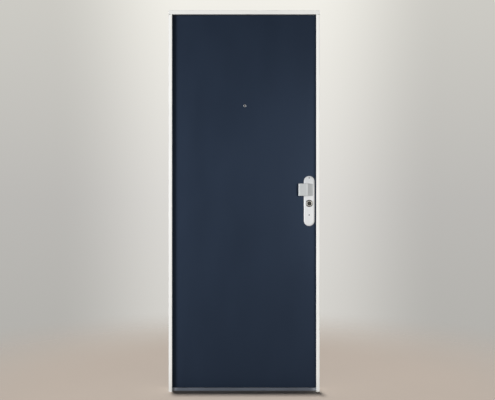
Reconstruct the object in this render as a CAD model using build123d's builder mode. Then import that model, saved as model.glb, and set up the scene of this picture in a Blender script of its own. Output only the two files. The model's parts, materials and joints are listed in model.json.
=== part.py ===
from build123d import *
import os

# A steel security door that opens inward, closed in its folded-sheet frame.
# Millimetres. +X is right seen from the landing, -Y faces the landing, +Z is up.
# The origin lies on the floor, under the middle of the threshold.

# Frame: jambs and head are one folded section, a box stop with a rebate wall behind it.
# A flat lip borders the opening, the flange outside it falls back a little, the reveal is undercut
frame_width = 844
frame_height = 2130
frame_sheet = 2
bend_inside = 0.5
sight_width = 20
head_sight = 23.5
lip_width = 8
lip_bend = 10
flange_fall = 2
reveal_splay = 2.5
stop_depth = 26
fold_gap = 0.5
corner_gap = 1.5
rear_margin = 4

# Leaf: two boards on a frame of steel channels
side_gap = 10
head_gap = 9
floor_gap = 5
stop_gap = 6
outer_board = 8
inner_board = 8
channel_depth = 42
channel_width = 40
channel_sheet = 2
board_edge = 1

# Threshold
sill_plate = 3
sill_height = 17
sill_setback = 4
sill_upstand = 4
sill_nose = 1.5
groove_count = 6
groove_width = 2
groove_depth = 1
groove_pitch = 8

# Seals on the stops, clear of the closed leaf
seal_width = 6
seal_clearance = 0.5
seal_inset = 1
seal_round = 2.2
seal_bore = 1.4
sill_seal_height = 5

# Hinges: lift-off, the lower knuckle and its pin on the frame
hinge_count = 4
hinge_low = 220
hinge_top_margin = 230
hinge_height = 120
hinge_plate = 3
hinge_plate_depth = 32
barrel_radius = 9
barrel_gap = 1
barrel_bevel = 1.5
pin_radius = 5
pin_clearance = 0.1
pin_length = 50
bearing_gap = 0.3
bore_end_gap = 2

# Dog bolts on the hinge edge and their pockets in the jamb
dog_radius = 7
dog_tip_radius = 4.5
dog_taper = 3
dog_reach = 11.5
dog_collar_radius = 11
dog_collar = 4
dog_room = 5

# Wall anchors through the rebate walls
anchor_radius = 5.5
anchor_rise = 130

# Lock: axis of the cylinder, cases, faceplate, latch and bolts drawn back flush
backset = 45
keyhole_height = 1051
faceplate_width = 24
faceplate_thickness = 3
faceplate_margin = 110
case_thickness = 20
case_depth = 64
case_below = 92
case_above = 116
small_case_depth = 48
small_case_height = 90
small_bolt_offset = 600
bolt_radius = 8
bolt_length = 34
bolt_bevel = 1
bolt_pitch = 28
bolt_count = 3
bolt_drop = 28
latch_width = 12
latch_height = 34
latch_length = 38
latch_bevel = 9
latch_rise = 77
fit_gap = 0.2

# Strikes on the lock-side jamb
strike_thickness = 2
strike_width = 34
strike_margin = 22
small_strike_height = 88
strike_round = 4
strike_room = 2

# Lock cylinder: round part over a narrow web, with the key's plug in the outer half
cylinder_radius = 8.5
web_width = 10
web_drop = 19.5
plug_radius = 6.5
plug_clearance = 0.1
plug_length = 30
plug_stand = 0.6
keyway_width = 2
keyway_height = 8
keyway_depth = 20
outer_nose = 5.5
inner_nose = 2

# Outer escutcheon, guard ring and pull
escutcheon_width = 59.5
escutcheon_height = 281
escutcheon_thickness = 10
escutcheon_rise = 13.5
bevel_width = 6.5
bevel_depth = 4
guard_radius = 20
guard_crown_radius = 15
guard_height = 8
guard_rim = 2
guard_round = 2.5
guard_mouth_radius = 10.5
guard_mouth_depth = 2.5
pull_rise = 76.5
pull_height = 68.5
pull_stand = 22
pull_foot = 21
pull_foot_width = 20
pull_ridge = -11.5
pull_reach = 62
pull_thickness = 8
pull_ridge_round = 14
pull_end_round = 5.5
pull_heel_round = 2
pull_inner_round = 4
pull_edge = 1.5

# Inner escutcheon, lever and thumbturn
inner_plate_width = 50
inner_plate_height = 240
inner_plate_thickness = 8
inner_plate_bevel = 2
lever_rise = 77
lever_neck_radius = 9
lever_collar_radius = 12
lever_collar = 5
lever_stand = 46
lever_length = 132
lever_width = 22
lever_thickness = 13
lever_round = 5
turn_radius = 16
turn_base = 6
turn_grip_length = 27
turn_grip_width = 11
turn_grip = 16
turn_bevel = 2

# Door viewer
viewer_height = 1600
viewer_offset = 3
viewer_radius = 6.5
viewer_bore = 4.6
viewer_flange_radius = 8.5
viewer_flange = 3
viewer_flange_bevel = 1.5
viewer_thread = 3
lens_thickness = 2.5
lens_crown = 1
lens_setback = 0.6
lens_gap = 0.05
eyepiece_radius = 12
eyepiece_thickness = 7
eyepiece_bore = 4
eyepiece_bevel = 2

# Places that follow from the sizes above
leaf_thickness = outer_board + channel_depth + inner_board
frame_depth = stop_depth + stop_gap + leaf_thickness + rear_margin
half_width = frame_width / 2
lip_front = -frame_depth / 2
flange_front = lip_front + flange_fall
stop_rear = lip_front + stop_depth
frame_rear = frame_depth / 2
reveal = half_width - sight_width
wall_inside = half_width - frame_sheet
soffit = frame_height - head_sight
stop_inside = reveal + reveal_splay
stop_under = soffit + reveal_splay

leaf_half = wall_inside - side_gap
leaf_bottom = sill_plate + floor_gap
leaf_top = frame_height - frame_sheet - head_gap
leaf_height = leaf_top - leaf_bottom
leaf_front = stop_rear + stop_gap
channel_front = leaf_front + outer_board
channel_rear = channel_front + channel_depth
channel_middle = channel_front + channel_depth / 2
leaf_rear = channel_rear + inner_board
channel_inside = leaf_half - channel_width

lock_x = leaf_half - backset
plate_front = leaf_front - escutcheon_thickness
plate_rear = leaf_rear + inner_plate_thickness
latch_height_centre = keyhole_height + latch_rise
lowest_bolt = keyhole_height - bolt_drop - bolt_pitch * (bolt_count - 1) / 2
bolt_heights = [lowest_bolt + bolt_pitch * i for i in range(bolt_count)]
small_bolt_heights = {
    "upper": keyhole_height + small_bolt_offset,
    "lower": keyhole_height - small_bolt_offset,
}
case_bottom = keyhole_height - case_below
case_top = keyhole_height + case_above

hinge_x = -(leaf_half + hinge_plate)
hinge_y = frame_rear + barrel_gap + barrel_radius
hinge_pitch = (frame_height - hinge_low - hinge_top_margin) / (hinge_count - 1)
hinge_heights = [hinge_low + hinge_pitch * i for i in range(hinge_count)]
dog_heights = [z + hinge_pitch / 2 for z in hinge_heights[:-1]]
anchor_heights = [z + anchor_rise for z in hinge_heights]

os.makedirs("parts", exist_ok=True)


def save(piece, name):
    piece.part.label = name
    export_step(piece.part, f"parts/{name}.step")


def at_depth(y):
    # Sketch plane across the doorway: local axes are X and Z, and it faces the landing
    return Plane.XZ.offset(-y)


def at_side(x):
    # Sketch plane along the reveal: local axes are Y and Z, and it faces +X
    return Plane.YZ.offset(x)


def folded_section(plane, edge, side, sight):
    # Section of the bent sheet: a hollow stop with the rebate wall running on behind it,
    # and a slit where the fold comes back to the wall
    inner = edge - side * sight
    wall = edge - side * frame_sheet
    skin = [
        (edge, stop_rear),
        (edge, flange_front),
        (inner + side * lip_width, lip_front),
        (inner, lip_front),
        (inner + side * reveal_splay, stop_rear),
        (wall, stop_rear),
    ]
    outside = bend_inside + frame_sheet
    with BuildSketch(plane) as section:
        with BuildLine():
            FilletPolyline(*skin, radius=[outside, lip_bend, outside, outside])
            Line(skin[-1], skin[0])
        make_face()
        offset(section.sketch_local, amount=-frame_sheet, mode=Mode.SUBTRACT)
        with Locations(((edge + wall) / 2, (stop_rear + frame_rear) / 2)):
            Rectangle(frame_sheet, frame_rear - stop_rear)
        with Locations((wall - side * fold_gap / 2, stop_rear - frame_sheet / 2)):
            Rectangle(fold_gap, frame_sheet, mode=Mode.SUBTRACT)
    return section.sketch


def cylinder_section(y, room):
    # Lock cylinder's outline: a round over a narrow web with a round foot
    with BuildSketch(at_depth(y)) as section:
        with Locations((lock_x, keyhole_height)):
            Circle(cylinder_radius + room)
        with Locations((lock_x, keyhole_height - web_drop / 2)):
            SlotCenterToCenter(web_drop, web_width + 2 * room, rotation=90)
    return section.sketch


def disc(y, x, z, radius):
    with BuildSketch(at_depth(y)) as section:
        with Locations((x, z)):
            Circle(radius)
    return section.sketch


def bolt_holes(plane, heights, room):
    with BuildSketch(plane) as section:
        with Locations(*[(channel_middle, z) for z in heights]):
            Circle(bolt_radius + room)
    return section.sketch


def latch_hole(plane, room):
    with BuildSketch(plane) as section:
        with Locations((channel_middle, latch_height_centre)):
            Rectangle(latch_width + 2 * room, latch_height + 2 * room)
    return section.sketch


# Jambs: the section stands on the floor, notched at the top for the head, with a seam under it
def jamb(side):
    section = folded_section(Plane.XY, side * half_width, side, sight_width)
    flange_width = sight_width - lip_width
    with BuildPart() as piece:
        extrude(section, amount=frame_height - frame_sheet)
        for low, width in ((soffit, sight_width), (soffit - corner_gap, flange_width)):
            with BuildSketch(Plane.XY.offset(low)):
                with Locations((side * (half_width - width / 2), (lip_front + stop_rear) / 2)):
                    Rectangle(width, stop_depth)
            extrude(amount=frame_height - low, mode=Mode.SUBTRACT)
        with BuildSketch(at_side(side * half_width)):
            with Locations(*[(channel_middle, z) for z in anchor_heights]):
                Circle(anchor_radius)
        extrude(amount=-side * frame_sheet, mode=Mode.SUBTRACT)
    return piece.part


with BuildPart() as left_jamb:
    add(jamb(-1))
    with BuildSketch(at_side(-half_width)):
        with Locations(*[(channel_middle, z) for z in dog_heights]):
            Circle(dog_radius + dog_room)
    extrude(amount=frame_sheet, mode=Mode.SUBTRACT)
save(left_jamb, "left_jamb")

with BuildPart() as right_jamb:
    add(jamb(1))
    wall_plane = at_side(wall_inside)
    extrude(
        bolt_holes(wall_plane, bolt_heights + list(small_bolt_heights.values()), strike_room),
        amount=frame_sheet,
        mode=Mode.SUBTRACT,
    )
    extrude(latch_hole(wall_plane, strike_room), amount=frame_sheet, mode=Mode.SUBTRACT)
save(right_jamb, "right_jamb")

head_plane = Plane(origin=(half_width, 0, 0), x_dir=(0, 0, 1), z_dir=(-1, 0, 0))
with BuildPart() as head:
    extrude(folded_section(head_plane, frame_height, 1, head_sight), amount=frame_width)
save(head, "head")

# Threshold: upstand as the stop, grooved plate under the leaf, notched round the jambs' stops
sill_front = stop_rear - sill_upstand
sill_rear = frame_rear - sill_setback
sill_half = reveal + reveal_splay * (sill_front - lip_front) / stop_depth
with BuildPart() as threshold:
    with BuildSketch(at_side(-wall_inside)):
        with BuildLine():
            Polyline(
                (sill_front, 0),
                (sill_rear, 0),
                (sill_rear, sill_plate),
                (stop_rear, sill_plate),
                (stop_rear, sill_height),
                (sill_front + sill_nose, sill_height),
                (sill_front, sill_height - sill_nose),
                close=True,
            )
        make_face()
        with Locations(((stop_rear + sill_rear) / 2, sill_plate - groove_depth / 2)):
            with GridLocations(groove_pitch, 1, groove_count, 1):
                Rectangle(groove_width, groove_depth, mode=Mode.SUBTRACT)
    extrude(amount=2 * wall_inside)
    with BuildSketch(Plane.XY):
        for side in (-1, 1):
            with Locations((side * (sill_half + wall_inside) / 2, sill_front + sill_upstand / 2)):
                Rectangle(wall_inside - sill_half, sill_upstand)
    extrude(amount=sill_height, mode=Mode.SUBTRACT)
save(threshold, "threshold")

# Seals: hollow strips on the rear of the stops
seal_depth = stop_gap - seal_clearance


def seal(plane, across, along):
    # Drawn across the strip, flat on the stop and rounded towards the leaf
    with BuildPart() as piece:
        with BuildSketch(plane):
            with Locations((across, stop_rear + seal_depth / 2)):
                strip = Rectangle(seal_width, seal_depth)
            fillet(strip.vertices().group_by(Axis.Y)[-1], seal_round)
            with Locations((across, stop_rear + seal_depth / 2)):
                Circle(seal_bore, mode=Mode.SUBTRACT)
        extrude(amount=along)
    return piece.part


seal_across = seal_inset + seal_width / 2
for name, side in (("left_seal", -1), ("right_seal", 1)):
    rise = stop_under + seal_inset - sill_height
    with BuildPart() as side_seal:
        add(seal(Plane.XY.offset(sill_height), side * (stop_inside + seal_across), rise))
    save(side_seal, name)

with BuildPart() as head_seal:
    half_seal = stop_inside + seal_across + seal_width / 2
    with BuildSketch(Plane(origin=(half_seal, 0, 0), x_dir=(0, 0, 1), z_dir=(-1, 0, 0))):
        with Locations((stop_under + seal_across, stop_rear + seal_depth / 2)):
            Rectangle(seal_width, seal_depth)
            Circle(seal_bore, mode=Mode.SUBTRACT)
    extrude(amount=2 * half_seal)
    fillet(head_seal.edges().filter_by(Axis.X).group_by(Axis.Y)[-1], seal_round)
save(head_seal, "head_seal")

with BuildPart() as threshold_seal:
    with BuildSketch(at_side(-reveal)):
        with Locations((stop_rear + seal_depth / 2, sill_height - sill_seal_height / 2)):
            Rectangle(seal_depth, sill_seal_height)
            Circle(seal_bore, mode=Mode.SUBTRACT)
    extrude(amount=2 * reveal)
    fillet(threshold_seal.edges().filter_by(Axis.X).group_by(Axis.Y)[-1], seal_round)
save(threshold_seal, "threshold_seal")

# Strike plates on the inside of the lock-side rebate wall
strike_face = wall_inside - strike_thickness


def strike(low, high):
    with BuildPart() as piece:
        with BuildSketch(at_side(strike_face)):
            with Locations((channel_middle, (low + high) / 2)):
                RectangleRounded(strike_width, high - low, strike_round)
        extrude(amount=strike_thickness)
    return piece.part


with BuildPart() as latch_strike:
    add(strike(bolt_heights[0] - strike_margin, latch_height_centre + latch_height / 2 + strike_margin))
    face_plane = at_side(strike_face)
    extrude(bolt_holes(face_plane, bolt_heights, strike_room), amount=strike_thickness, mode=Mode.SUBTRACT)
    extrude(latch_hole(face_plane, strike_room), amount=strike_thickness, mode=Mode.SUBTRACT)
save(latch_strike, "latch_strike")

for name, z in small_bolt_heights.items():
    with BuildPart() as small_strike:
        add(strike(z - small_strike_height / 2, z + small_strike_height / 2))
        extrude(bolt_holes(face_plane, [z], strike_room), amount=strike_thickness, mode=Mode.SUBTRACT)
    save(small_strike, f"{name}_strike")

# Hinges: a plate on the wall or leaf edge, a web and half of the barrel
knuckle = (hinge_height - bearing_gap) / 2


def hinge_blank(plate_x, z_low, barrel_low, outer_end):
    # The barrel's free end is bevelled before the plate and its web join it
    with BuildPart() as piece:
        with BuildSketch(Plane.XY.offset(barrel_low)):
            with Locations((hinge_x, hinge_y)):
                Circle(barrel_radius)
        extrude(amount=knuckle)
        chamfer(piece.edges().group_by(Axis.Z)[outer_end], barrel_bevel)
        with BuildSketch(Plane.XY.offset(barrel_low)):
            with Locations((plate_x + hinge_plate / 2, (frame_rear + hinge_y) / 2)):
                Rectangle(hinge_plate, hinge_y - frame_rear)
        extrude(amount=knuckle)
        with BuildSketch(Plane.XY.offset(z_low)):
            with Locations((plate_x + hinge_plate / 2, frame_rear - hinge_plate_depth / 2)):
                Rectangle(hinge_plate, hinge_plate_depth)
        extrude(amount=hinge_height)
    return piece.part


for i, z in enumerate(hinge_heights, start=1):
    low = z - hinge_height / 2
    high = low + hinge_height - knuckle
    with BuildPart() as frame_half:
        add(hinge_blank(-wall_inside, low, low, 0))
        with BuildSketch(Plane.XY.offset(low + knuckle)):
            with Locations((hinge_x, hinge_y)):
                Circle(pin_radius)
        extrude(amount=pin_length)
    save(frame_half, f"hinge_{i}_frame_half")

    with BuildPart() as leaf_half_hinge:
        add(hinge_blank(hinge_x, low, high, -1))
        with BuildSketch(Plane.XY.offset(high)):
            with Locations((hinge_x, hinge_y)):
                Circle(pin_radius + pin_clearance)
        extrude(amount=pin_length + bore_end_gap, mode=Mode.SUBTRACT)
    save(leaf_half_hinge, f"hinge_{i}_leaf_half")

# Leaf boards, drilled for the cylinder and the viewer
for name, y, board in (("outer_panel", leaf_front, outer_board), ("inner_panel", channel_rear, inner_board)):
    with BuildPart() as panel:
        with BuildSketch(at_depth(y)):
            with Locations((0, (leaf_bottom + leaf_top) / 2)):
                Rectangle(2 * leaf_half, leaf_height)
        extrude(amount=-board)
        show_face = panel.faces().sort_by(Axis.Y)[0 if name == "outer_panel" else -1]
        chamfer(show_face.edges(), board_edge)
        extrude(cylinder_section(y, fit_gap), amount=-board, mode=Mode.SUBTRACT)
        viewer_hole = disc(y, viewer_offset, viewer_height, viewer_radius + fit_gap)
        extrude(viewer_hole, amount=-board, mode=Mode.SUBTRACT)
    save(panel, name)


# Channels round the leaf's edge, open towards its middle
def channel(plane, edge, side, length):
    back = edge - side * channel_width
    with BuildPart() as piece:
        with BuildSketch(plane):
            with BuildLine():
                FilletPolyline(
                    (back, channel_front),
                    (edge, channel_front),
                    (edge, channel_rear),
                    (back, channel_rear),
                    radius=bend_inside + channel_sheet,
                )
                offset(amount=channel_sheet, side=Side.LEFT if side > 0 else Side.RIGHT)
            make_face()
        extrude(amount=length)
    return piece.part


web_inside = leaf_half - channel_sheet
with BuildPart() as hinge_stile:
    add(channel(Plane.XY.offset(leaf_bottom), -leaf_half, -1, leaf_height))
    with BuildSketch(at_side(-leaf_half)):
        with Locations(*[(channel_middle, z) for z in dog_heights]):
            Circle(dog_radius + fit_gap)
    extrude(amount=channel_sheet, mode=Mode.SUBTRACT)
save(hinge_stile, "hinge_stile")

with BuildPart() as lock_stile:
    add(channel(Plane.XY.offset(leaf_bottom), leaf_half, 1, leaf_height))
    with BuildSketch(at_side(web_inside)):
        with Locations((channel_middle, (leaf_bottom + leaf_top) / 2)):
            Rectangle(faceplate_width + 2 * fit_gap, leaf_height - 2 * faceplate_margin + 2 * fit_gap)
    extrude(amount=channel_sheet, mode=Mode.SUBTRACT)
    extrude(cylinder_section(channel_front, fit_gap), amount=-channel_depth, mode=Mode.SUBTRACT)
save(lock_stile, "lock_stile")

rail_plane = Plane(origin=(channel_inside, 0, 0), x_dir=(0, 0, 1), z_dir=(-1, 0, 0))
for name, edge, side in (("top_rail", leaf_top, 1), ("bottom_rail", leaf_bottom, -1)):
    with BuildPart() as rail:
        add(channel(rail_plane, edge, side, 2 * channel_inside))
    save(rail, name)

# Core board between the channels, pocketed for the lock cases
core_bottom = leaf_bottom + channel_width
core_top = leaf_top - channel_width
cases = [(case_bottom, case_top, case_depth)]
for z in small_bolt_heights.values():
    cases.append((z - small_case_height / 2, z + small_case_height / 2, small_case_depth))
with BuildPart() as core_infill:
    with BuildSketch(at_depth(channel_front)):
        with Locations((0, (core_bottom + core_top) / 2)):
            Rectangle(2 * channel_inside, core_top - core_bottom)
    extrude(amount=-channel_depth)
    for low, high, depth in cases:
        with BuildSketch(at_side(leaf_half - depth - fit_gap)):
            with Locations((channel_middle, (low + high) / 2)):
                Rectangle(case_thickness + 2 * fit_gap, high - low + 2 * fit_gap)
        extrude(amount=depth, mode=Mode.SUBTRACT)
    extrude(cylinder_section(channel_front, fit_gap), amount=-channel_depth, mode=Mode.SUBTRACT)
    viewer_hole = disc(channel_front, viewer_offset, viewer_height, viewer_radius + fit_gap)
    extrude(viewer_hole, amount=-channel_depth, mode=Mode.SUBTRACT)
save(core_infill, "core_infill")

# Lock: a long faceplate in the leaf's edge with three cases behind it, bored for latch and bolts
with BuildPart() as multipoint_lock:
    with BuildSketch(at_side(leaf_half)):
        with Locations((channel_middle, (leaf_bottom + leaf_top) / 2)):
            Rectangle(faceplate_width, leaf_height - 2 * faceplate_margin)
    extrude(amount=-faceplate_thickness)
    for low, high, depth in cases:
        with BuildSketch(at_side(leaf_half - faceplate_thickness)):
            with Locations((channel_middle, (low + high) / 2)):
                Rectangle(case_thickness, high - low)
        extrude(amount=-(depth - faceplate_thickness))
    edge_plane = at_side(leaf_half)
    all_bolts = bolt_heights + list(small_bolt_heights.values())
    extrude(bolt_holes(edge_plane, all_bolts, fit_gap), amount=-(bolt_length + fit_gap), mode=Mode.SUBTRACT)
    extrude(latch_hole(edge_plane, fit_gap), amount=-(latch_length + fit_gap), mode=Mode.SUBTRACT)
    extrude(cylinder_section(channel_front, fit_gap), amount=-channel_depth, mode=Mode.SUBTRACT)
save(multipoint_lock, "multipoint_lock")

with BuildPart() as latch_bolt:
    with BuildSketch(Plane.XY.offset(latch_height_centre - latch_height / 2)):
        with BuildLine():
            Polyline(
                (leaf_half - latch_length, channel_middle - latch_width / 2),
                (leaf_half, channel_middle - latch_width / 2),
                (leaf_half - latch_bevel, channel_middle + latch_width / 2),
                (leaf_half - latch_length, channel_middle + latch_width / 2),
                close=True,
            )
        make_face()
    extrude(amount=latch_height)
save(latch_bolt, "latch_bolt")

bolt_sets = {"centre_bolts": bolt_heights}
for name, z in small_bolt_heights.items():
    bolt_sets[f"{name}_bolt"] = [z]
for name, heights in bolt_sets.items():
    with BuildPart() as bolts:
        extrude(bolt_holes(at_side(leaf_half), heights, 0), amount=-bolt_length)
        chamfer(bolts.faces().group_by(Axis.X)[-1].edges(), bolt_bevel)
    save(bolts, name)

# Dog bolts: a collar behind the stile's web and a tapered stud into the jamb
with BuildPart() as dog_bolts:
    for z in dog_heights:
        with BuildSketch(Plane.XY.offset(z)):
            with BuildLine():
                Polyline(
                    (-web_inside + dog_collar, channel_middle),
                    (-web_inside + dog_collar, channel_middle + dog_collar_radius),
                    (-web_inside, channel_middle + dog_collar_radius),
                    (-web_inside, channel_middle + dog_radius),
                    (-leaf_half - dog_reach + dog_taper, channel_middle + dog_radius),
                    (-leaf_half - dog_reach, channel_middle + dog_tip_radius),
                    (-leaf_half - dog_reach, channel_middle),
                    close=True,
                )
            make_face()
        revolve(axis=Axis((0, channel_middle, z), (1, 0, 0)))
save(dog_bolts, "dog_bolts")


# Stadium plates on both faces, bored for the cylinder
def stadium(y, width, height, thickness):
    with BuildPart() as piece:
        with BuildSketch(at_depth(y)):
            with Locations((lock_x, keyhole_height + escutcheon_rise)):
                SlotOverall(height, width, rotation=90)
        extrude(amount=thickness)
        extrude(
            disc(y, lock_x, keyhole_height, cylinder_radius + fit_gap),
            amount=thickness,
            mode=Mode.SUBTRACT,
        )
    return piece.part


def rim(piece, end):
    # Outer rim of the plate's show face, without the bore
    face = piece.faces().filter_by(Axis.Y).sort_by(Axis.Y)[end]
    return face, face.outer_wire().edges()


with BuildPart() as outer_escutcheon:
    add(stadium(leaf_front, escutcheon_width, escutcheon_height, escutcheon_thickness))
    front_face, front_rim = rim(outer_escutcheon, 0)
    chamfer(front_rim, bevel_width, bevel_depth, reference=front_face)
save(outer_escutcheon, "outer_escutcheon")

with BuildPart() as inner_escutcheon:
    add(stadium(leaf_rear, inner_plate_width, inner_plate_height, -inner_plate_thickness))
    rear_face, rear_rim = rim(inner_escutcheon, -1)
    chamfer(rear_rim, inner_plate_bevel)
save(inner_escutcheon, "inner_escutcheon")

# Guard ring round the cylinder, sloping up to a rounded crown
guard_bore = cylinder_radius + fit_gap
with BuildPart() as cylinder_guard:
    with BuildSketch(Plane.XY.offset(keyhole_height)):
        with BuildLine():
            Polyline(
                (lock_x + guard_bore, plate_front),
                (lock_x + guard_radius, plate_front),
                (lock_x + guard_radius, plate_front - guard_rim),
                (lock_x + guard_crown_radius, plate_front - guard_height),
                (lock_x + guard_mouth_radius, plate_front - guard_height),
                (lock_x + guard_bore, plate_front - guard_height + guard_mouth_depth),
                close=True,
            )
        outline = make_face()
        fillet(outline.vertices().group_by(Axis.Y)[0].sort_by(Axis.X)[-1], guard_round)
    revolve(axis=Axis((lock_x, 0, keyhole_height), (0, 1, 0)))
save(cylinder_guard, "cylinder_guard")

# Lock cylinder: the web stays between the leaf's faces, round noses reach through the plates
nose_front = plate_front - outer_nose
with BuildPart() as cylinder_body:
    nose = disc(nose_front, lock_x, keyhole_height, cylinder_radius)
    extrude(nose, amount=nose_front - plate_rear - inner_nose)
    with BuildSketch(at_depth(leaf_front)):
        with Locations((lock_x, keyhole_height - web_drop / 2)):
            SlotCenterToCenter(web_drop, web_width, rotation=90)
    extrude(amount=-leaf_thickness)
    extrude(
        disc(nose_front, lock_x, keyhole_height, plug_radius + plug_clearance),
        amount=-plug_length,
        mode=Mode.SUBTRACT,
    )
save(cylinder_body, "cylinder_body")

with BuildPart() as cylinder_plug:
    extrude(
        disc(nose_front - plug_stand, lock_x, keyhole_height, plug_radius),
        amount=-(plug_length + plug_stand - bearing_gap),
    )
    with BuildSketch(at_depth(nose_front - plug_stand)):
        with Locations((lock_x, keyhole_height)):
            Rectangle(keyway_width, keyway_height)
    extrude(amount=-keyway_depth, mode=Mode.SUBTRACT)
save(cylinder_plug, "cylinder_plug")

# Fixed pull: a foot on the plate, a slanted web up to a rounded ridge and a flat grip towards the hinges
pull_front = plate_front - pull_stand
pull_bottom = keyhole_height + pull_rise - pull_height / 2
with BuildPart() as pull_fin:
    with BuildSketch(Plane.XY.offset(pull_bottom)):
        with BuildLine() as outline:
            FilletPolyline(
                (lock_x + pull_foot, plate_front),
                (lock_x + pull_ridge, pull_front),
                (lock_x - pull_reach, pull_front),
                (lock_x - pull_reach, pull_front + pull_thickness),
                (lock_x + pull_ridge - pull_thickness, pull_front + pull_thickness),
                (lock_x + pull_foot - pull_foot_width, plate_front),
                radius=[pull_ridge_round, pull_end_round, pull_heel_round, pull_inner_round],
            )
            Line(outline.line @ 1, outline.line @ 0)
        make_face()
    extrude(amount=pull_height)
    rims = ShapeList()
    for end in (0, -1):
        rims += pull_fin.faces().sort_by(Axis.Z)[end].edges().sort_by(Axis.Y)[:-1]
    chamfer(rims, pull_edge)
save(pull_fin, "pull_fin")

# Inner lever: collar, neck and a rounded arm towards the hinges
lever_height = keyhole_height + lever_rise
arm_rear = plate_rear + lever_stand
with BuildPart() as inner_lever:
    extrude(disc(plate_rear, lock_x, lever_height, lever_collar_radius), amount=-lever_collar)
    extrude(disc(plate_rear, lock_x, lever_height, lever_neck_radius), amount=-lever_stand)
    with BuildSketch(at_depth(arm_rear)):
        with Locations((lock_x - lever_length / 2 + lever_width / 2, lever_height)):
            SlotOverall(lever_length, lever_width)
    extrude(amount=-lever_thickness)
    fillet(inner_lever.faces().sort_by(Axis.Y)[-1].edges(), lever_round)
save(inner_lever, "inner_lever")

turn_seat = plate_rear + inner_nose
with BuildPart() as thumbturn:
    extrude(disc(turn_seat, lock_x, keyhole_height, turn_radius), amount=-turn_base)
    with BuildSketch(at_depth(turn_seat + turn_base)):
        with Locations((lock_x, keyhole_height)):
            SlotOverall(turn_grip_length, turn_grip_width, rotation=90)
    extrude(amount=-turn_grip)
    chamfer(thumbturn.faces().sort_by(Axis.Y)[-1].edges(), turn_bevel)
save(thumbturn, "thumbturn")

# Door viewer: flanged barrel from the landing side, lens in its mouth, screwed-on eyepiece inside
barrel_rear = leaf_rear + viewer_thread
viewer_axis = Axis((viewer_offset, 0, viewer_height), (0, 1, 0))
with BuildPart() as peephole_barrel:
    with BuildSketch(Plane.XY.offset(viewer_height)):
        with BuildLine():
            Polyline(
                (viewer_offset + viewer_bore, leaf_front - viewer_flange),
                (viewer_offset + viewer_flange_radius - viewer_flange_bevel, leaf_front - viewer_flange),
                (viewer_offset + viewer_flange_radius, leaf_front - viewer_flange + viewer_flange_bevel),
                (viewer_offset + viewer_flange_radius, leaf_front),
                (viewer_offset + viewer_radius, leaf_front),
                (viewer_offset + viewer_radius, barrel_rear),
                (viewer_offset + viewer_bore, barrel_rear),
                close=True,
            )
        make_face()
    revolve(axis=viewer_axis)
save(peephole_barrel, "peephole_barrel")

lens_front = leaf_front - viewer_flange + lens_setback
lens_radius = viewer_bore - lens_gap
lens_curve = (lens_radius**2 + lens_crown**2) / (2 * lens_crown)
with BuildPart() as peephole_lens:
    with BuildSketch(Plane.XY.offset(viewer_height)):
        with BuildLine():
            Polyline(
                (viewer_offset, lens_front - lens_crown),
                (viewer_offset, lens_front + lens_thickness),
                (viewer_offset + lens_radius, lens_front + lens_thickness),
                (viewer_offset + lens_radius, lens_front),
            )
            RadiusArc(
                (viewer_offset + lens_radius, lens_front),
                (viewer_offset, lens_front - lens_crown),
                lens_curve,
            )
        make_face()
    revolve(axis=viewer_axis)
save(peephole_lens, "peephole_lens")

with BuildPart() as peephole_eyepiece:
    extrude(disc(leaf_rear, viewer_offset, viewer_height, eyepiece_radius), amount=-eyepiece_thickness)
    chamfer(peephole_eyepiece.edges().group_by(Axis.Y)[-1], eyepiece_bevel)
    extrude(
        disc(leaf_rear, viewer_offset, viewer_height, viewer_radius + fit_gap),
        amount=-(viewer_thread + fit_gap),
        mode=Mode.SUBTRACT,
    )
    extrude(
        disc(leaf_rear, viewer_offset, viewer_height, eyepiece_bore),
        amount=-eyepiece_thickness,
        mode=Mode.SUBTRACT,
    )
save(peephole_eyepiece, "peephole_eyepiece")
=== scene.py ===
"""Looks of the security door.

Gives every CAD node its finish, adds the small fasteners and sets up a studio at the photo's angle.
"""

import json
import math
import random

import bmesh
import bpy
from mathutils import Matrix, Vector


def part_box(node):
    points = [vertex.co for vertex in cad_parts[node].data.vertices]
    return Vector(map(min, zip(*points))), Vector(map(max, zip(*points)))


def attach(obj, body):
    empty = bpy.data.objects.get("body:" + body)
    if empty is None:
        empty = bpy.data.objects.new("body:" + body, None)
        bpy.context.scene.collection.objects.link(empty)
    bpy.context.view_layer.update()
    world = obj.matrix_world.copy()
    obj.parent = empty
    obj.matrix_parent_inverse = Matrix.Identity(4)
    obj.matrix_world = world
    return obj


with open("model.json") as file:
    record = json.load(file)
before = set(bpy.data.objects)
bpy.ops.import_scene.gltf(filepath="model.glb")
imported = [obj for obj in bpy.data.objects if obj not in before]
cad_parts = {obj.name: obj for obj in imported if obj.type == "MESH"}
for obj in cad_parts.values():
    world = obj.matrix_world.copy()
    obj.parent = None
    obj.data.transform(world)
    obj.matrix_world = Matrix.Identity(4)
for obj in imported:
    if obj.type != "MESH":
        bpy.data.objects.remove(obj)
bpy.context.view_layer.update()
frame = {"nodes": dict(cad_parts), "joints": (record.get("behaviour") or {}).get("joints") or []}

MM = 0.001
nodes = frame["nodes"]


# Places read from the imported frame

def middle(node):
    low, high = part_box(node)
    return (low + high) / 2


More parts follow.
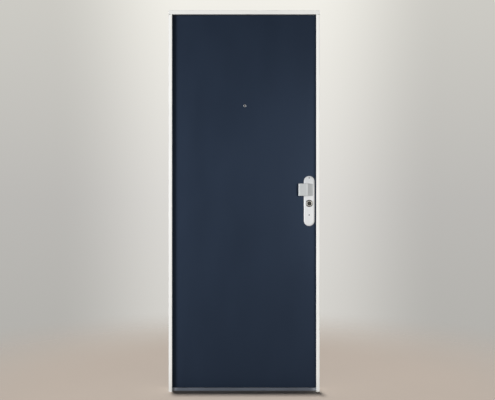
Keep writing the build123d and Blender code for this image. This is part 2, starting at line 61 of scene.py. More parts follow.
hinge_names = [f"hinge_{i}" for i in range(1, 5)]
hinge_axis = Vector(frame["joints"][0]["pos_m"])
lock_axis = middle("cylinder_plug")
viewer_axis = middle("peephole_barrel")
edge_middle = middle("latch_bolt").y
head_low, head_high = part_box("head")
left_jamb_low, left_jamb_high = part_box("left_jamb")
plate_low, plate_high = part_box("outer_escutcheon")
inner_low, inner_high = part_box("inner_escutcheon")
lock_low, lock_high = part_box("multipoint_lock")
fin_low, fin_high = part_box("pull_fin")
eyepiece_low, eyepiece_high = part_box("peephole_eyepiece")
sill_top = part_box("threshold")[1].z
strike_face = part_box("latch_strike")[0].x
hinge_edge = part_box("outer_panel")[0].x

# Sizes of the part that its nodes' boxes don't show
WALL_SHEET = 2 * MM
HINGE_PLATE = 3 * MM
SILL_PLATE_TOP = 3 * MM
SILL_FACE_END = 404 * MM
STOP_DEPTH = 26 * MM
LIP_WIDTH = 8 * MM
LIP_FALL = 2 * MM
STOP_SPLAY = 2.5 * MM
LEVER_NECK = 9 * MM
RIDGE_FROM_LOCK = 11.5 * MM
pull_ridge = lock_axis.x - RIDGE_FROM_LOCK

# The part's origin, and the axes that a pattern or a distance counts
ORIGIN = (0, 0, 0)
EVENLY = (1, 1, 1)
ROUND_Y = (1, 0, 1)
ONLY_X = (1, 0, 0)
ONLY_Z = (0, 0, 1)


class Finish:
    """One Principled material.

    Its patterns read the piece's own coordinates, which are metres in the part's frame.
    """

    def __init__(self, name, sockets, edge=0.0):
        self.material = bpy.data.materials.new(name)
        self.material.use_nodes = True
        self.tree = self.material.node_tree
        self.shader = self.tree.nodes["Principled BSDF"]
        self.place = self.node("ShaderNodeTexCoord").outputs["Object"]
        self.paint = None
        self.relief = None
        for socket, value in sockets.items():
            self.shader.inputs[socket].default_value = value
        if edge:
            self.soften(edge)

    def node(self, kind, **settings):
        made = self.tree.nodes.new(kind)
        for name, value in settings.items():
            setattr(made, name, value)
        return made

    def feed(self, socket, source):
        """Fills a socket with a plain value or with another node's output."""
        if isinstance(source, bpy.types.NodeSocket):
            self.tree.links.new(source, socket)
        else:
            socket.default_value = source

    def soften(self, edge):
        """Shades sharp edges as if they were broken by that radius in metres."""
        rounded = self.node("ShaderNodeBevel", samples=4)
        rounded.inputs["Radius"].default_value = edge
        self.relief = rounded.outputs["Normal"]
        self.feed(self.shader.inputs["Normal"], self.relief)

    def about(self, centre, stretch):
        """The piece's coordinates measured from centre, stretched along each axis."""
        shifted = self.node("ShaderNodeVectorMath", operation="SUBTRACT")
        self.feed(shifted.inputs[0], self.place)
        shifted.inputs[1].default_value = centre
        scaled = self.node("ShaderNodeVectorMath", operation="MULTIPLY")
        self.feed(scaled.inputs[0], shifted.outputs[0])
        scaled.inputs[1].default_value = stretch
        return scaled.outputs[0]

    def noise(self, scale, stretch=EVENLY, detail=3.0):
        """Soft noise of about that many features a metre, stretched along each axis."""
        texture = self.node("ShaderNodeTexNoise")
        texture.inputs["Scale"].default_value = scale
        texture.inputs["Detail"].default_value = detail
        self.feed(texture.inputs["Vector"], self.about(ORIGIN, stretch))
        return texture.outputs[0]

    def flakes(self, scale, stretch):
        """Random value for each cell of a broken pattern."""
        texture = self.node("ShaderNodeTexVoronoi")
        texture.inputs["Scale"].default_value = scale
        self.feed(texture.inputs["Vector"], self.about(ORIGIN, stretch))
        return self.along("X", texture.outputs["Color"])

    def along(self, axis, vector=None):
        """One coordinate of the piece's own place, or of another vector."""
        split = self.node("ShaderNodeSeparateXYZ")
        self.feed(split.inputs[0], vector or self.place)
        return split.outputs[axis]

    def distance(self, centre, axes):
        """Distance from centre, counting only the axes that are 1."""
        length = self.node("ShaderNodeVectorMath", operation="LENGTH")
        self.feed(length.inputs[0], self.about(centre, axes))
        return length.outputs["Value"]

    def combine(self, operation, first, second=0.0):
        """Result of one arithmetic operation, such as MULTIPLY or MAXIMUM."""
        made = self.node("ShaderNodeMath", operation=operation)
        self.feed(made.inputs[0], first)
        self.feed(made.inputs[1], second)
        return made.outputs[0]

    def spread(self, value, low, high, to_low=0.0, to_high=1.0):
        """Maps low..high onto to_low..to_high and holds the ends."""
        made = self.node("ShaderNodeMapRange", interpolation_type="SMOOTHSTEP")
        for socket, source in zip(made.inputs, (value, low, high, to_low, to_high)):
            self.feed(socket, source)
        return made.outputs[0]

    def mix(self, share, first, second):
        """Runs from the first colour to the second as share goes from 0 to 1."""
        made = self.node("ShaderNodeMix", data_type="RGBA")
        self.feed(made.inputs["Factor"], share)
        for name, source in (("A", first), ("B", second)):
            socket = next(s for s in made.inputs if s.name == name and s.type == "RGBA")
            self.feed(socket, (*source, 1) if isinstance(source, tuple) else source)
        return next(s for s in made.outputs if s.type == "RGBA")

    def colour(self, source):
        self.paint = source
        self.feed(self.shader.inputs["Base Color"], source)

    def gloss(self, source):
        self.feed(self.shader.inputs["Roughness"], source)

    def bump(self, height, depth):
        """Adds relief of that depth in metres on top of the relief so far."""
        made = self.node("ShaderNodeBump")
        made.inputs["Distance"].default_value = depth
        self.feed(made.inputs["Height"], height)
        if self.relief:
            self.feed(made.inputs["Normal"], self.relief)
        self.relief = made.outputs["Normal"]
        self.feed(self.shader.inputs["Normal"], self.relief)

    def turned(self, centre, radians_a_metre, depth):
        """Fine grooves round an axis along Y, as a lathe leaves them."""
        phase = self.combine("MULTIPLY", self.distance(centre, ROUND_Y), radians_a_metre)
        self.bump(self.combine("SINE", phase), depth)


# Finishes

ALONG_X = (6, 1600, 1600)
ALONG_Z = (1600, 1600, 6)
FINE_ALONG_X = (4, 2600, 2600)


def powder_white():
    """White powder coat, darker near the floor and a little more so on the lock side: partly dust, partly
    painted shade.
    """
    clean = (0.86, 0.868, 0.85)
    dull = (0.825, 0.83, 0.81)
    # Colour of the darkening near the floor: partly dust, partly painted shade
    dust_and_shade_colour = (0.52, 0.49, 0.45)
    dust_and_shade_top = 400 * MM
    made = Finish("frame_white", {"Specular IOR Level": 0.4})
    cloud = made.spread(made.noise(2.2, detail=2), 0.35, 0.65)
    paint = made.mix(cloud, clean, dull)
    # Darker towards the floor and more so on the lock side: partly dust, partly painted shade
    low_down = made.spread(made.along("Z"), 0.0, dust_and_shade_top, 1.0, 0.0)
    blotch = made.spread(made.noise(11, stretch=(1, 1, 0.6), detail=5), 0.35, 0.75, 0.25, 1.0)
    amount = made.spread(made.along("X"), head_low.x, head_high.x, 0.34, 0.42)
    dust_and_shade = made.combine("MULTIPLY", made.combine("MULTIPLY", low_down, blotch), amount)
    made.colour(made.mix(dust_and_shade, paint, dust_and_shade_colour))
    made.gloss(made.spread(made.noise(7), 0.3, 0.7, 0.36, 0.48))
    made.bump(made.noise(520, detail=2), 0.06 * MM)
    return made.material


def navy_board():
    """Navy metallic paint: its sheen keeps the paint's own hue."""
    bright = (0.0240, 0.0380, 0.0665)
    deep = (0.0222, 0.0352, 0.0615)
    made = Finish("panel_navy", {"Metallic": 0.6, "Specular IOR Level": 0.15}, edge=0.6 * MM)
    cloud = made.spread(made.noise(1.7, stretch=(1, 1, 0.6), detail=2), 0.3, 0.7)
    made.colour(made.mix(cloud, bright, deep))
    smear = made.noise(5, stretch=(1, 1, 0.35), detail=4)
    made.gloss(made.spread(smear, 0.3, 0.7, 0.385, 0.445))
    made.bump(made.noise(620, detail=2), 0.05 * MM)
    return made.material


def brushed(name, base, worn, gloss, lines, metallic=1.0, edge=0.4 * MM):
    """Metal with fine lines. lines gives how tightly the pattern is drawn along each axis."""
    made = Finish(name, {"Metallic": metallic}, edge)
    line = made.noise(1, stretch=lines, detail=2)
    patch = made.spread(made.noise(9, detail=4), 0.35, 0.7)
    streak = made.spread(line, 0.3, 0.7)
    half_patch = made.combine("MULTIPLY", patch, 0.5)
    half_streak = made.combine("MULTIPLY", streak, 0.5)
    share = made.combine("ADD", half_patch, half_streak)
    made.colour(made.mix(share, base, worn))
    made.gloss(made.spread(share, 0.0, 1.0, *gloss))
    made.bump(line, 0.01 * MM)
    return made


def aluminium_sill():
    """Grey extrusion, scuffed along its top edge, with a painted reflection of the white jambs brightening
    both ends.
    """
    clean = (0.222, 0.252, 0.302)
    dull = (0.197, 0.224, 0.269)
    scuff = (0.36, 0.37, 0.39)
    # Colour of the painted reflection of the white jambs near both ends
    bright = (0.66, 0.70, 0.76)
    edge_depth = 1.5 * MM
    jamb_reflection_reach = 37 * MM
    made = brushed("threshold_aluminium", clean, dull, (0.42, 0.5), FINE_ALONG_X)
    edge = made.spread(made.along("Z"), sill_top - edge_depth, sill_top)
    tread = made.combine("MULTIPLY", edge, made.spread(made.noise(24, detail=5), 0.45, 0.7))
    scuffed = made.mix(tread, made.paint, scuff)
    # Painted reflection: brighter towards both ends, as if the white jambs showed in the metal
    from_middle = made.distance(ORIGIN, ONLY_X)
    ends = made.spread(from_middle, SILL_FACE_END - jamb_reflection_reach, SILL_FACE_END, 0.0, 0.6)
    made.colour(made.mix(ends, scuffed, bright))
    return made.material


def rubber():
    black = (0.012, 0.012, 0.013)
    bloomed = (0.035, 0.034, 0.033)
    made = Finish("seal_rubber", {"Specular IOR Level": 0.3})
    bloom = made.spread(made.noise(18, stretch=(1, 1, 0.3), detail=4), 0.4, 0.8)
    made.colour(made.mix(bloom, black, bloomed))
    made.gloss(made.spread(bloom, 0, 1, 0.55, 0.75))
    made.bump(made.noise(900, detail=2), 0.05 * MM)
    return made.material


def painted_channel():
    """Dark paint on folded steel, chipped to the metal in small spots."""
    deep = (0.017, 0.026, 0.042)
    bright = (0.024, 0.035, 0.054)
    bare = (0.09, 0.09, 0.095)
    made = Finish("channel_steel", {"Specular IOR Level": 0.35})
    chip = made.spread(made.noise(160, detail=5), 0.68, 0.72)
    cloud = made.spread(made.noise(4), 0.3, 0.7)
    made.colour(made.mix(chip, made.mix(cloud, deep, bright), bare))
    made.gloss(made.spread(cloud, 0, 1, 0.38, 0.52))
    made.bump(made.noise(480, detail=2), 0.06 * MM)
    return made.material


def chipboard():
    dark_chip = (0.42, 0.31, 0.19)
    pale_chip = (0.66, 0.53, 0.36)
    made = Finish("core_board", {"Specular IOR Level": 0.2, "Roughness": 0.85})
    flake = made.flakes(260, stretch=(0.5, 1, 0.5))
    made.colour(made.mix(flake, dark_chip, pale_chip))
    made.bump(flake, 0.4 * MM)
    return made.material


def chrome():
    """Satin ring: bright face, painted shade in the mouth round the cylinder, and painted shade and dark
    reflection on the ring's top and bottom.
    """
    bright = (0.64, 0.625, 0.585)
    hazy = (0.58, 0.565, 0.53)
    # Colour of the painted shade and dark reflection on the ring's top and bottom
    painted_ring_shade = (0.075, 0.073, 0.067)
    # Colour of the painted shade in the recessed mouth round the cylinder
    shaded = (0.032, 0.031, 0.028)
    mouth_edge = (11.4 * MM, 12.4 * MM)
    skirt_edge = (13.4 * MM, 15.2 * MM)
    shine_edge = (14.6 * MM, 16.2 * MM)
    made = Finish("guard_chrome", {"Metallic": 1.0})
    haze = made.spread(made.noise(60, detail=4), 0.35, 0.7)
    face = made.mix(haze, bright, hazy)
    out = made.distance(lock_axis, ROUND_Y)
    upright = made.combine("DIVIDE", made.distance(lock_axis, ONLY_Z), out)
    # Painted shade and dark reflection on the top and bottom of the ring
    skirt = made.spread(out, *skirt_edge)
    painted_ring_shade_share = made.combine("MULTIPLY", skirt, made.spread(upright, 0.35, 0.8))
    # Painted shade in the mouth round the cylinder
    outside = made.spread(out, *mouth_edge)
    made.colour(made.mix(outside, shaded, made.mix(painted_ring_shade_share, face, painted_ring_shade)))
    made.gloss(made.spread(out, *shine_edge, 0.40, 0.30))
    made.turned(lock_axis, radians_a_metre=9000, depth=0.008 * MM)
    return made.material


def plate_silver():
    """Pale anodised plate, with painted shade darkening it above the pull."""
    clean = (0.775, 0.787, 0.797)
    worn = (0.73, 0.742, 0.755)
    # Colour of the painted shade above the pull
    dull = (0.645, 0.662, 0.675)
    painted_shade_from = fin_high.z - 30 * MM
    painted_shade_top = fin_high.z + 16 * MM
    made = brushed("escutcheon_silver", clean, worn, (0.60, 0.70), ALONG_Z, metallic=0.25)
    # Painted shade, darkening the plate above the pull
    above = made.spread(made.along("Z"), painted_shade_from, painted_shade_top)
    made.colour(made.mix(above, made.paint, dull))
    return made.material


def pull_silver():
    """Darker anodised pull, with painted highlights on its ridge, its slope and its free edges."""
    clean = (0.535, 0.56, 0.572)
    worn = (0.50, 0.525, 0.537)
    # Colour of the painted highlights
    bright = (0.66, 0.685, 0.70)
    half_height = (fin_high.z - fin_low.z) / 2
    tip_edge = (fin_low.x + 7 * MM, fin_low.x + 11 * MM)
    slope_edge = (pull_ridge + 3 * MM, pull_ridge + 8 * MM)
    ridge_edge = (2.5 * MM, 6 * MM)
    end_edge = (half_height - 5 * MM, half_height - 2 * MM)
    made = brushed("pull_silver", clean, worn, (0.42, 0.50), ALONG_Z, metallic=0.2)
    across = made.along("X")
    from_ridge = made.distance((pull_ridge, 0, 0), ONLY_X)
    from_middle = made.distance(middle("pull_fin"), ONLY_Z)
    # Painted highlights at the free tip, on the slope, along the ridge and at both ends
    tip = made.spread(across, *tip_edge, 0.35, 0.0)
    slope = made.spread(across, *slope_edge, 0.0, 0.55)
    ridge = made.spread(from_ridge, *ridge_edge, 0.85, 0.0)
    ends = made.spread(from_middle, *end_edge, 0.0, 0.6)
    rubbed_and_highlit = tip
    for place in (slope, ridge, ends):
        rubbed_and_highlit = made.combine("MAXIMUM", rubbed_and_highlit, place)
    made.colour(made.mix(rubbed_and_highlit, made.paint, bright))
    return made.material


def viewer_chrome():
    bright = (0.53, 0.555, 0.59)
    hazy = (0.455, 0.48, 0.515)
    made = Finish("viewer_chrome", {"Metallic": 1.0}, edge=0.3 * MM)
    haze = made.spread(made.noise(90, detail=4), 0.35, 0.7)
    made.colour(made.mix(haze, bright, hazy))
    made.gloss(made.spread(haze, 0, 1, 0.24, 0.34))
    made.turned(viewer_axis, radians_a_metre=14000, depth=0.006 * MM)
    return made.material


def dark_nickel():
    dark = (0.040, 0.038, 0.034)
    rubbed_and_highlit = (0.068, 0.065, 0.058)
    made = Finish("cylinder_nickel", {"Metallic": 1.0})
    worn = made.spread(made.noise(220, detail=4), 0.4, 0.7)
    made.colour(made.mix(worn, dark, rubbed_and_highlit))
    made.gloss(made.spread(worn, 0, 1, 0.32, 0.45))
    made.turned(lock_axis, radians_a_metre=12000, depth=0.006 * MM)
    return made.material


def dark_glass():
    """Lens that shows a brown ring between its dark middle and its dark rim."""
    depth = (0.006, 0.005, 0.005)
    brown = (0.050, 0.026, 0.016)
    rim = (0.010, 0.008, 0.008)
    ring_edge = (1.6 * MM, 2.6 * MM)
    rim_edge = (3.2 * MM, 4.4 * MM)
    made = Finish("lens_glass", {"Specular IOR Level": 0.6, "Coat Weight": 1.0, "Coat Roughness": 0.03})
    out = made.distance(viewer_axis, ROUND_Y)
    inside = made.mix(made.spread(out, *ring_edge), depth, brown)
    made.colour(made.mix(made.spread(out, *rim_edge), inside, rim))
    made.gloss(made.spread(made.noise(300), 0.4, 0.6, 0.05, 0.09))
    return made.material


finishes = {
    "frame_white": powder_white(),
    "panel_navy": navy_board(),
    "threshold_aluminium": aluminium_sill(),
    "seal_rubber": rubber(),
    "channel_steel": painted_channel(),
    "core_board": chipboard(),
    "escutcheon_silver": plate_silver(),
    "guard_chrome": chrome(),
    "cylinder_nickel": dark_nickel(),
    "lens_glass": dark_glass(),
}
# Plain metals: colour, worn colour, roughness from clean to worn, and how their lines run
for name, *look in (
    ("strike_steel", (0.50, 0.50, 0.49), (0.38, 0.38, 0.38), (0.46, 0.58), ALONG_Z),
    ("hinge_steel", (0.60, 0.60, 0.59), (0.46, 0.46, 0.46), (0.32, 0.46), ALONG_Z),
    ("lock_steel", (0.62, 0.62, 0.63), (0.50, 0.50, 0.51), (0.26, 0.38), ALONG_Z),
    ("bolt_steel", (0.74, 0.74, 0.73), (0.62, 0.62, 0.61), (0.18, 0.30), ALONG_X),
):
    finishes[name] = brushed(name, *look).material
for node in nodes.values():
    node.data.materials[0] = finishes[node.data.materials[0].name.split(".")[0]]

# Finishes that differ from the one of the node's slot
inner_satin = brushed(
    "inner_satin", (0.66, 0.665, 0.67), (0.56, 0.565, 0.57), (0.32, 0.42), ALONG_Z, metallic=0.9,
).material
lever_satin = brushed(
    "lever_satin", (0.68, 0.685, 0.69), (0.58, 0.585, 0.59), (0.30, 0.40), ALONG_X, metallic=0.9,
).material
viewer_finish = viewer_chrome()
for name, finish in (
    ("pull_fin", pull_silver()),
    ("inner_escutcheon", inner_satin),
    ("thumbturn", inner_satin),
    ("inner_lever", lever_satin),
    ("peephole_barrel", viewer_finish),
    ("peephole_eyepiece", viewer_finish),
):
    nodes[name].data.materials[0] = finish
screw_black = brushed(
    "screw_black", (0.05, 0.05, 0.052), (0.10, 0.10, 0.10), (0.35, 0.5), ALONG_X, edge=0,
).material


# Tools for small pieces: an outline gives the radius at an angle

RING_POINTS = 36
SMOOTH_ANGLE = math.radians(35)
TINY = 1e-6
turn = random.Random(11)


def round_outline(radius):
    return lambda angle: radius


def hex_outline(apothem):
    def radius(angle):
        return apothem / math.cos((angle + math.pi / 6) % (math.pi / 3) - math.pi / 6)
    return radius


def cross_outline(arm, half_width):
    def radius(angle):
        along = max(abs(math.cos(angle)), TINY)
        across = max(abs(math.sin(angle)), TINY)
        return max(min(arm / along, half_width / across), min(half_width / along, arm / across))
    return radius


def stack(mesh, rings, place, points=RING_POINTS, hollow=False):
    """Closed solid through (outline, lift) rings.

    It is capped at both ends, or hollow with its last ring joined to its first.
    """
    loops = []
    for outline, lift in rings:
        loop = []
        for i in range(points):
            angle = 2 * math.pi * i / points
            out = outline(angle)
            point = Vector((out * math.cos(angle), out * math.sin(angle), lift))
            loop.append(mesh.verts.new(place @ point))
        loops.append(loop)
    following = loops[1:] + loops[:1] if hollow else loops[1:]
    for low, high in zip(loops, following):
        for i in range(points):
            j = (i + 1) % points
            mesh.faces.new((low[i], low[j], high[j], high[i]))
    if not hollow:
        mesh.faces.new(list(reversed(loops[0])))
        mesh.faces.new(loops[-1])


def prism(mesh, outline, start, end):
    """Closed prism along X from an outline of (y, z) points."""
    rows = [[mesh.verts.new((x, y, z)) for y, z in outline] for x in (start, end)]
    for i in range(len(outline)):
        j = (i + 1) % len(outline)
        mesh.faces.new((rows[0][i], rows[0][j], rows[1][j], rows[1][i]))
    mesh.faces.new(list(reversed(rows[0])))
    mesh.faces.new(rows[1])


def facing(point, normal):
    """Frame on a face: its Z axis is the face's normal, turned at random as screws are."""
    turned = Matrix.Rotation(turn.uniform(0, math.tau), 4, "Z")
    upright = Vector(normal).to_track_quat("Z", "Y").to_matrix().to_4x4()
    return Matrix.Translation(point) @ upright @ turned


def piece(name, mesh, body, slot, finish=None):
    """Turns a mesh into a piece of that body, with its slot's finish or one of its own."""
    bmesh.ops.recalc_face_normals(mesh, faces=mesh.faces)
    data = bpy.data.meshes.new(name)
    mesh.to_mesh(data)
    mesh.free()
    data.materials.append(finish or finishes[slot])
    made = bpy.data.objects.new(name, data)
    bpy.context.scene.collection.objects.link(made)
    data.shade_smooth()
    made.modifiers.new("edges", "EDGE_SPLIT").split_angle = SMOOTH_ANGLE
    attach(made, body)
    return made


# Screws, each set one joined mesh. A head is its radius, its height and the outline of its recess

SEAT = 0.1 * MM
HEAD_PROFILE = ((1, 0.35), (0.93, 0.7), (0.76, 1))
cross = cross_outline(2.2 * MM, 0.55 * MM)
PLATE_HEAD = (3.3 * MM, 0.9 * MM, hex_outline(1.6 * MM))
INNER_HEAD = (3.2 * MM, 1.2 * MM, cross)
HINGE_HEAD = (4 * MM, 1.1 * MM, cross)
EDGE_HEAD = (3.4 * MM, 1.0 * MM, cross)
SILL_HEAD = (4.2 * MM, 1.4 * MM, cross)
GRUB_HEAD = (2.6 * MM, 0.3 * MM, hex_outline(1.3 * MM))


def screws(name, points, normal, head, body, slot, finish=None):
    radius, height, recess = head
    mesh = bmesh.new()
    for point in points:
        rings = [(round_outline(radius), -SEAT)]
        for share, lift in HEAD_PROFILE:
            rings.append((round_outline(share * radius), lift * height))
        rings += [(recess, height), (recess, SEAT)]
        stack(mesh, rings, facing(point, normal))
    return piece(name, mesh, body, slot, finish)


UPPER_SCREW_INSET = 11 * MM
LOWER_SCREW_INSET = 62 * MM
heights = (plate_high.z - UPPER_SCREW_INSET, plate_low.z + LOWER_SCREW_INSET)
points = [(lock_axis.x, plate_low.y, z) for z in heights]
screws("escutcheon_screws", points, (0, -1, 0), PLATE_HEAD, "leaf", "lock_steel", screw_black)

INNER_SCREW_INSET = 12 * MM
heights = (inner_high.z - INNER_SCREW_INSET, inner_low.z + INNER_SCREW_INSET)
points = [(lock_axis.x, inner_high.y, z) for z in heights]
screws("inner_plate_screws", points, (0, 1, 0), INNER_HEAD, "leaf", "lock_steel")

# Hinge screws as (height from the hinge's middle, depth from the jamb's rear edge)
HINGE_SCREWS = [(-44 * MM, -13 * MM), (0, -22 * MM), (44 * MM, -13 * MM)]
hinge_middles = [middle(f"{name}_leaf_half").z for name in hinge_names]
for half, face, outward in (
    ("frame", left_jamb_low.x + WALL_SHEET + HINGE_PLATE, 1),
    ("leaf", hinge_edge - HINGE_PLATE, -1),
):
    points = [(face, left_jamb_high.y + y, z + dz) for z in hinge_middles for dz, y in HINGE_SCREWS]
    screws(f"hinge_{half}_screws", points, (outward, 0, 0), HINGE_HEAD, half, "bolt_steel")

STRIKE_SCREW_INSET = 9 * MM
points = []
for name in ("latch_strike", "upper_strike", "lower_strike"):
    low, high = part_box(name)
    heights = (low.z + STRIKE_SCREW_INSET, high.z - STRIKE_SCREW_INSET)
    points += [(strike_face, edge_middle, z) for z in heights]
screws("strike_screws", points, (-1, 0, 0), EDGE_HEAD, "frame", "bolt_steel")

FACEPLATE_SCREW_INSET = 14 * MM
BOLT_SCREW_REACH = 32 * MM
CASE_SCREW_REACH = 24 * MM
heights = [lock_low.z + FACEPLATE_SCREW_INSET, lock_high.z - FACEPLATE_SCREW_INSET]
for name in ("upper_bolt", "lower_bolt"):
    heights += [middle(name).z + reach for reach in (-BOLT_SCREW_REACH, BOLT_SCREW_REACH)]
heights += [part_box("centre_bolts")[0].z - CASE_SCREW_REACH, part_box("latch_bolt")[1].z + CASE_SCREW_REACH]
points = [(lock_high.x, edge_middle, z) for z in heights]
screws("faceplate_screws", points, (1, 0, 0), EDGE_HEAD, "leaf", "bolt_steel")

SILL_SCREW_DEPTH = 11 * MM
SILL_SCREW_PLACES = (-330 * MM, -110 * MM, 110 * MM, 330 * MM)
points = [(x, SILL_SCREW_DEPTH, SILL_PLATE_TOP) for x in SILL_SCREW_PLACES]
screws("sill_screws", points, (0, 0, 1), SILL_HEAD, "frame", "bolt_steel")


# Plates welded into the open ends of the head's hollow stop

PLATE_INSET = 1 * MM
PLATE_THICKNESS = 1.5 * MM
PLATE_RECESS = 0.3 * MM
front = head_low.y + PLATE_INSET
back = head_low.y + STOP_DEPTH - PLATE_INSET
end_outline = [
    (front, head_low.z + PLATE_INSET),
    (front, head_low.z + LIP_WIDTH),
    (front + LIP_FALL, head_high.z - PLATE_INSET),
    (back, head_high.z - PLATE_INSET),
    (back, head_low.z + STOP_SPLAY + PLATE_INSET),
]
end_plates = bmesh.new()
for end, inward in ((head_low.x, 1), (head_high.x, -1)):
    start = end + inward * PLATE_RECESS
    prism(end_plates, end_outline, start, start + inward * PLATE_THICKNESS)
piece("head_end_plates", end_plates, "frame", "frame_white")


# Domed caps on the hinge pins, the lever's grub screw and the eyepiece's knurl

CAP_RADIUS = 6 * MM
CAP_HEIGHT = 1.2 * MM
CAP_RINGS = 6
CAP_STEP_DEGREES = 15
for half, end, upward in (("leaf", 1, 1), ("frame", 0, -1)):
    caps = bmesh.new()
    for name in hinge_names:
        face = Vector((hinge_axis.x, hinge_axis.y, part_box(f"{name}_{half}_half")[end].z))
        rings = [(round_outline(CAP_RADIUS), -SEAT)]
        for step in range(CAP_RINGS):
            rise = math.radians(CAP_STEP_DEGREES * step)
            rings.append((round_outline(CAP_RADIUS * math.cos(rise)), CAP_HEIGHT * math.sin(rise)))
        stack(caps, rings, facing(face, (0, 0, upward)))
    piece(f"hinge_{half}_pin_caps", caps, half, "hinge_steel")

GRUB_DEPTH = 11 * MM
grub_place = (lock_axis.x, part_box("inner_lever")[0].y + GRUB_DEPTH, middle("inner_lever").z - LEVER_NECK)
screws("lever_grub_screw", [grub_place], (0, 0, -1), GRUB_HEAD, "leaf", "lock_steel", screw_black)

KNURL_TEETH = 40
KNURL_POINTS = 4 * KNURL_TEETH
KNURL_RISE = 0.45 * MM
KNURL_SEAT = 0.3 * MM
KNURL_START = 0.8 * MM
KNURL_END = 4.6 * MM
eyepiece_radius = (eyepiece_high.x - eyepiece_low.x) / 2


def knurl_outline(angle):
    return eyepiece_radius + KNURL_RISE * abs(math.sin(angle * KNURL_TEETH / 2))


knurl = bmesh.new()
knurl_inside = round_outline(eyepiece_radius - KNURL_SEAT)
knurl_rings = [
    (knurl_inside, KNURL_START),
    (knurl_outline, KNURL_START),
    (knurl_outline, KNURL_END),
    (knurl_inside, KNURL_END),
]
knurl_place = facing((viewer_axis.x, eyepiece_low.y, viewer_axis.z), (0, 1, 0))
stack(knurl, knurl_rings, knurl_place, KNURL_POINTS, hollow=True)
piece("eyepiece_knurl", knurl, "leaf", "lock_steel", viewer_finish)


# Stage: a floor that fades into the background

FLOOR_SIZE = 9.0
FLOOR_SEGMENTS = 96
FLOOR_SOLID = 1.0
FLOOR_GONE = 3.0


def pale_floor():
    """Pale matt floor, darker to the door than to the camera, so that it throws little light back up."""
    pale = (0.455, 0.390, 0.335)
    shade = (0.445, 0.382, 0.328)
    to_the_door = (0.20, 0.175, 0.155)
    made = Finish("pale_floor", {"Specular IOR Level": 0.2, "Roughness": 0.75})
    cloud = made.spread(made.noise(0.9, detail=3), 0.3, 0.7)
    seen_by_camera = made.node("ShaderNodeLightPath").outputs["Is Camera Ray"]
    made.colour(made.mix(seen_by_camera, to_the_door, made.mix(cloud, pale, shade)))
    fade = made.node("ShaderNodeMixShader")
    made.feed(fade.inputs[0], made.spread(made.distance(ORIGIN, EVENLY), FLOOR_SOLID, FLOOR_GONE))
    made.feed(fade.inputs[1], made.shader.outputs[0])
    made.feed(fade.inputs[2], made.node("ShaderNodeBsdfTransparent").outputs[0])
    made.feed(made.tree.nodes["Material Output"].inputs["Surface"], fade.outputs[0])
    return made.material


floor_mesh = bmesh.new()
bmesh.ops.create_circle(floor_mesh, cap_ends=True, radius=FLOOR_SIZE, segments=FLOOR_SEGMENTS)
floor_data = bpy.data.meshes.new("floor")
floor_mesh.to_mesh(floor_data)
floor_mesh.free()
floor_data.materials.append(pale_floor())
floor = bpy.data.objects.new("floor", floor_data)
bpy.context.scene.collection.objects.link(floor)


# World: one background for the camera, one for reflections and one for all other light

world = bpy.data.worlds.new("studio")
bpy.context.scene.world = world
world.use_nodes = True
tree = world.node_tree
tree.nodes.clear()
direction = tree.nodes.new("ShaderNodeSeparateXYZ")
tree.links.new(tree.nodes.new("ShaderNodeTexCoord").outputs["Generated"], direction.inputs[0])
sky_height = tree.nodes.new("ShaderNodeMapRange")
sky_height.inputs["From Min"].default_value = -1
tree.links.new(direction.outputs["Z"], sky_height.inputs["Value"])
rays = tree.nodes.new("ShaderNodeLightPath").outputs


def sky(*stops):
    """Background whose colour runs with height: stops are (height of the direction, colour)."""
    shade = tree.nodes.new("ShaderNodeBackground")
    ramp = tree.nodes.new("ShaderNodeValToRGB")
    while len(ramp.color_ramp.elements) < len(stops):
        ramp.color_ramp.elements.new(0.5)
    for element, (up, colour) in zip(ramp.color_ramp.elements, stops):
        element.position = (up + 1) / 2
        element.color = (*colour, 1)
    tree.links.new(sky_height.outputs[0], ramp.inputs[0])
    tree.links.new(ramp.outputs["Color"], shade.inputs["Color"])
    return shade.outputs[0]


def sideways(shade, low, high, to_low, to_high):
    """Lets a background's strength run with how far the direction points to either side."""
    across = tree.nodes.new("ShaderNodeMath")
    across.operation = "ABSOLUTE"
    tree.links.new(direction.outputs["X"], across.inputs[0])
    reach = tree.nodes.new("ShaderNodeMapRange")
    reach.interpolation_type = "SMOOTHSTEP"
    tree.links.new(across.outputs[0], reach.inputs["Value"])
    for name, value in (("From Min", low), ("From Max", high), ("To Min", to_low), ("To Max", to_high)):
        reach.inputs[name].default_value = value
    tree.links.new(reach.outputs[0], shade.node.inputs["Strength"])


def joined(kind, *sources):
    """Output of a shader node of that kind, fed by its sources in order."""
    made = tree.nodes.new(kind)
    for socket, source in zip(made.inputs, sources):
        tree.links.new(source, socket)
    return made.outputs[0]


ambient = sky((-1, (0.11, 0.105, 0.10)), (0, (0.046, 0.047, 0.049)), (1, (0.08, 0.08, 0.08)))
mirrored = sky((-1, (0.12, 0.115, 0.11)), (0, (0.16, 0.16, 0.16)), (0.5, (0.04, 0.04, 0.043)))
side_panels = sky((-1, (1, 1, 1)), (1, (1, 1, 1)))
sideways(side_panels, low=0.55, high=0.95, to_low=0.0, to_high=0.7)
backdrop = sky((-0.2, (0.572, 0.560, 0.528)), (0, (0.638, 0.624, 0.597)), (0.3, (0.80, 0.785, 0.73)))
sideways(backdrop, low=0.08, high=0.26, to_low=1.13, to_high=0.78)
reflected = joined("ShaderNodeAddShader", mirrored, side_panels)
light = joined("ShaderNodeMixShader", rays["Is Glossy Ray"], ambient, reflected)
surface = joined("ShaderNodeMixShader", rays["Is Camera Ray"], light, backdrop)
tree.links.new(surface, tree.nodes.new("ShaderNodeOutputWorld").inputs["Surface"])


# Lights, each for the pieces that it is linked to

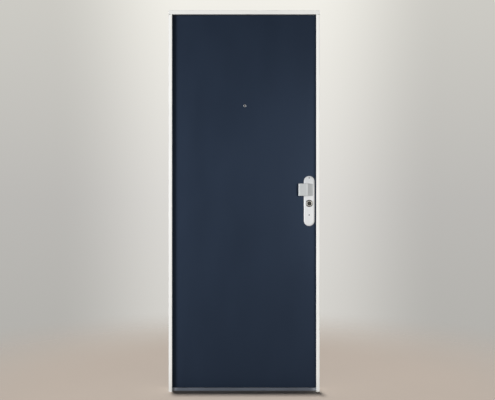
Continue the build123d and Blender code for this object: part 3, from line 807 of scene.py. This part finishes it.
PLAIN_TINT = (1, 1, 1)
COOL_TINT = (0.98, 0.99, 1.0)
IVORY_TINT = (1.0, 0.98, 0.95)
WARM_TINT = (1.0, 0.965, 0.92)


def light_group(name, members, left_out=False):
    """Collection for a lamp: it works on the members alone, or on all but them."""
    group = bpy.data.collections.new(name)
    for member in members:
        group.objects.link(member)
    if left_out:
        for entry in group.collection_objects:
            entry.light_linking.link_state = "EXCLUDE"
    return group


def softbox(name, place, aim, size, watts, lit, tint=PLAIN_TINT):
    """Rectangular lamp that lights one group and isn't seen by the camera."""
    data = bpy.data.lights.new(name, "AREA")
    data.shape = "RECTANGLE"
    data.size, data.size_y = size
    data.energy = watts
    data.color = tint
    lamp = bpy.data.objects.new(name, data)
    lamp.location = place
    lamp.rotation_euler = (Vector(aim) - Vector(place)).to_track_quat("-Z", "Y").to_euler()
    lamp.visible_camera = False
    lamp.light_linking.receiver_collection = lit
    bpy.context.scene.collection.objects.link(lamp)
    return lamp


floor_alone = light_group("floor_alone", [floor])
right_jamb_alone = light_group("right_jamb_alone", [nodes["right_jamb"]])
all_but_floor = light_group("all_but_floor", [floor], left_out=True)
all_but_leaf = light_group("all_but_leaf", [floor, nodes["outer_panel"]], left_out=True)
softbox(
    "key", place=(-4.98, -6.26, 1.40), aim=(0, 0, 1.2), size=(2.68, 3.4), watts=478,
    lit=all_but_floor, tint=COOL_TINT,
)
softbox(
    "fill", place=(1.82, -4.15, 1.25), aim=(0.25, 0, 1.1), size=(1.2, 1.6), watts=54,
    lit=all_but_floor, tint=WARM_TINT,
)
softbox(
    "upper", place=(-1.3, -3.4, 4.8), aim=(-0.3, 0, 2.1), size=(1.4, 1.2), watts=25,
    lit=all_but_leaf, tint=IVORY_TINT,
)
softbox(
    "side", place=(3.8, -1.9, 1.2), aim=(0.42, 0, 1.1), size=(1.2, 1.8), watts=36,
    lit=right_jamb_alone, tint=IVORY_TINT,
)
softbox(
    "rear", place=(2.4, 4.6, 2.2), aim=(0, 0, 1.0), size=(2.4, 2.4), watts=120,
    lit=all_but_floor,
)
softbox(
    "rear_fill", place=(-3.0, 4.2, 1.1), aim=(0, 0, 1.0), size=(2.0, 2.0), watts=70,
    lit=all_but_floor,
)

# Two lamps high over the door light the floor. Only the pieces named here throw a shadow in their light
OVERHEAD_SIZE = (2.4, 5.8)
for name, place, watts, makers in (
    ("overhead", (-1.8, 7.45, 150), 180000, ("outer_panel", "threshold")),
    ("overhead_jamb", (-0.8, 7.3, 150), 55000, ("outer_panel", "threshold", "right_jamb")),
):
    lamp = softbox(name, place, aim=ORIGIN, size=OVERHEAD_SIZE, watts=watts, lit=floor_alone)
    shadow_makers = light_group(f"{name}_shadow", [nodes[maker] for maker in makers])
    lamp.light_linking.blocker_collection = shadow_makers


# Camera at the photo's place

CAMERA_PLACE = (0.0186, -4.047, 1.070)
CAMERA_LENS = 52.13
CAMERA_SENSOR = 36
camera_data = bpy.data.cameras.new("photo_view")
camera_data.sensor_width = CAMERA_SENSOR
camera_data.lens = CAMERA_LENS
camera = bpy.data.objects.new("photo_view", camera_data)
camera.location = CAMERA_PLACE
camera.rotation_euler = (math.pi / 2, 0, 0)
bpy.context.scene.collection.objects.link(camera)
bpy.context.scene.camera = camera
bpy.context.scene.view_settings.view_transform = "Standard"
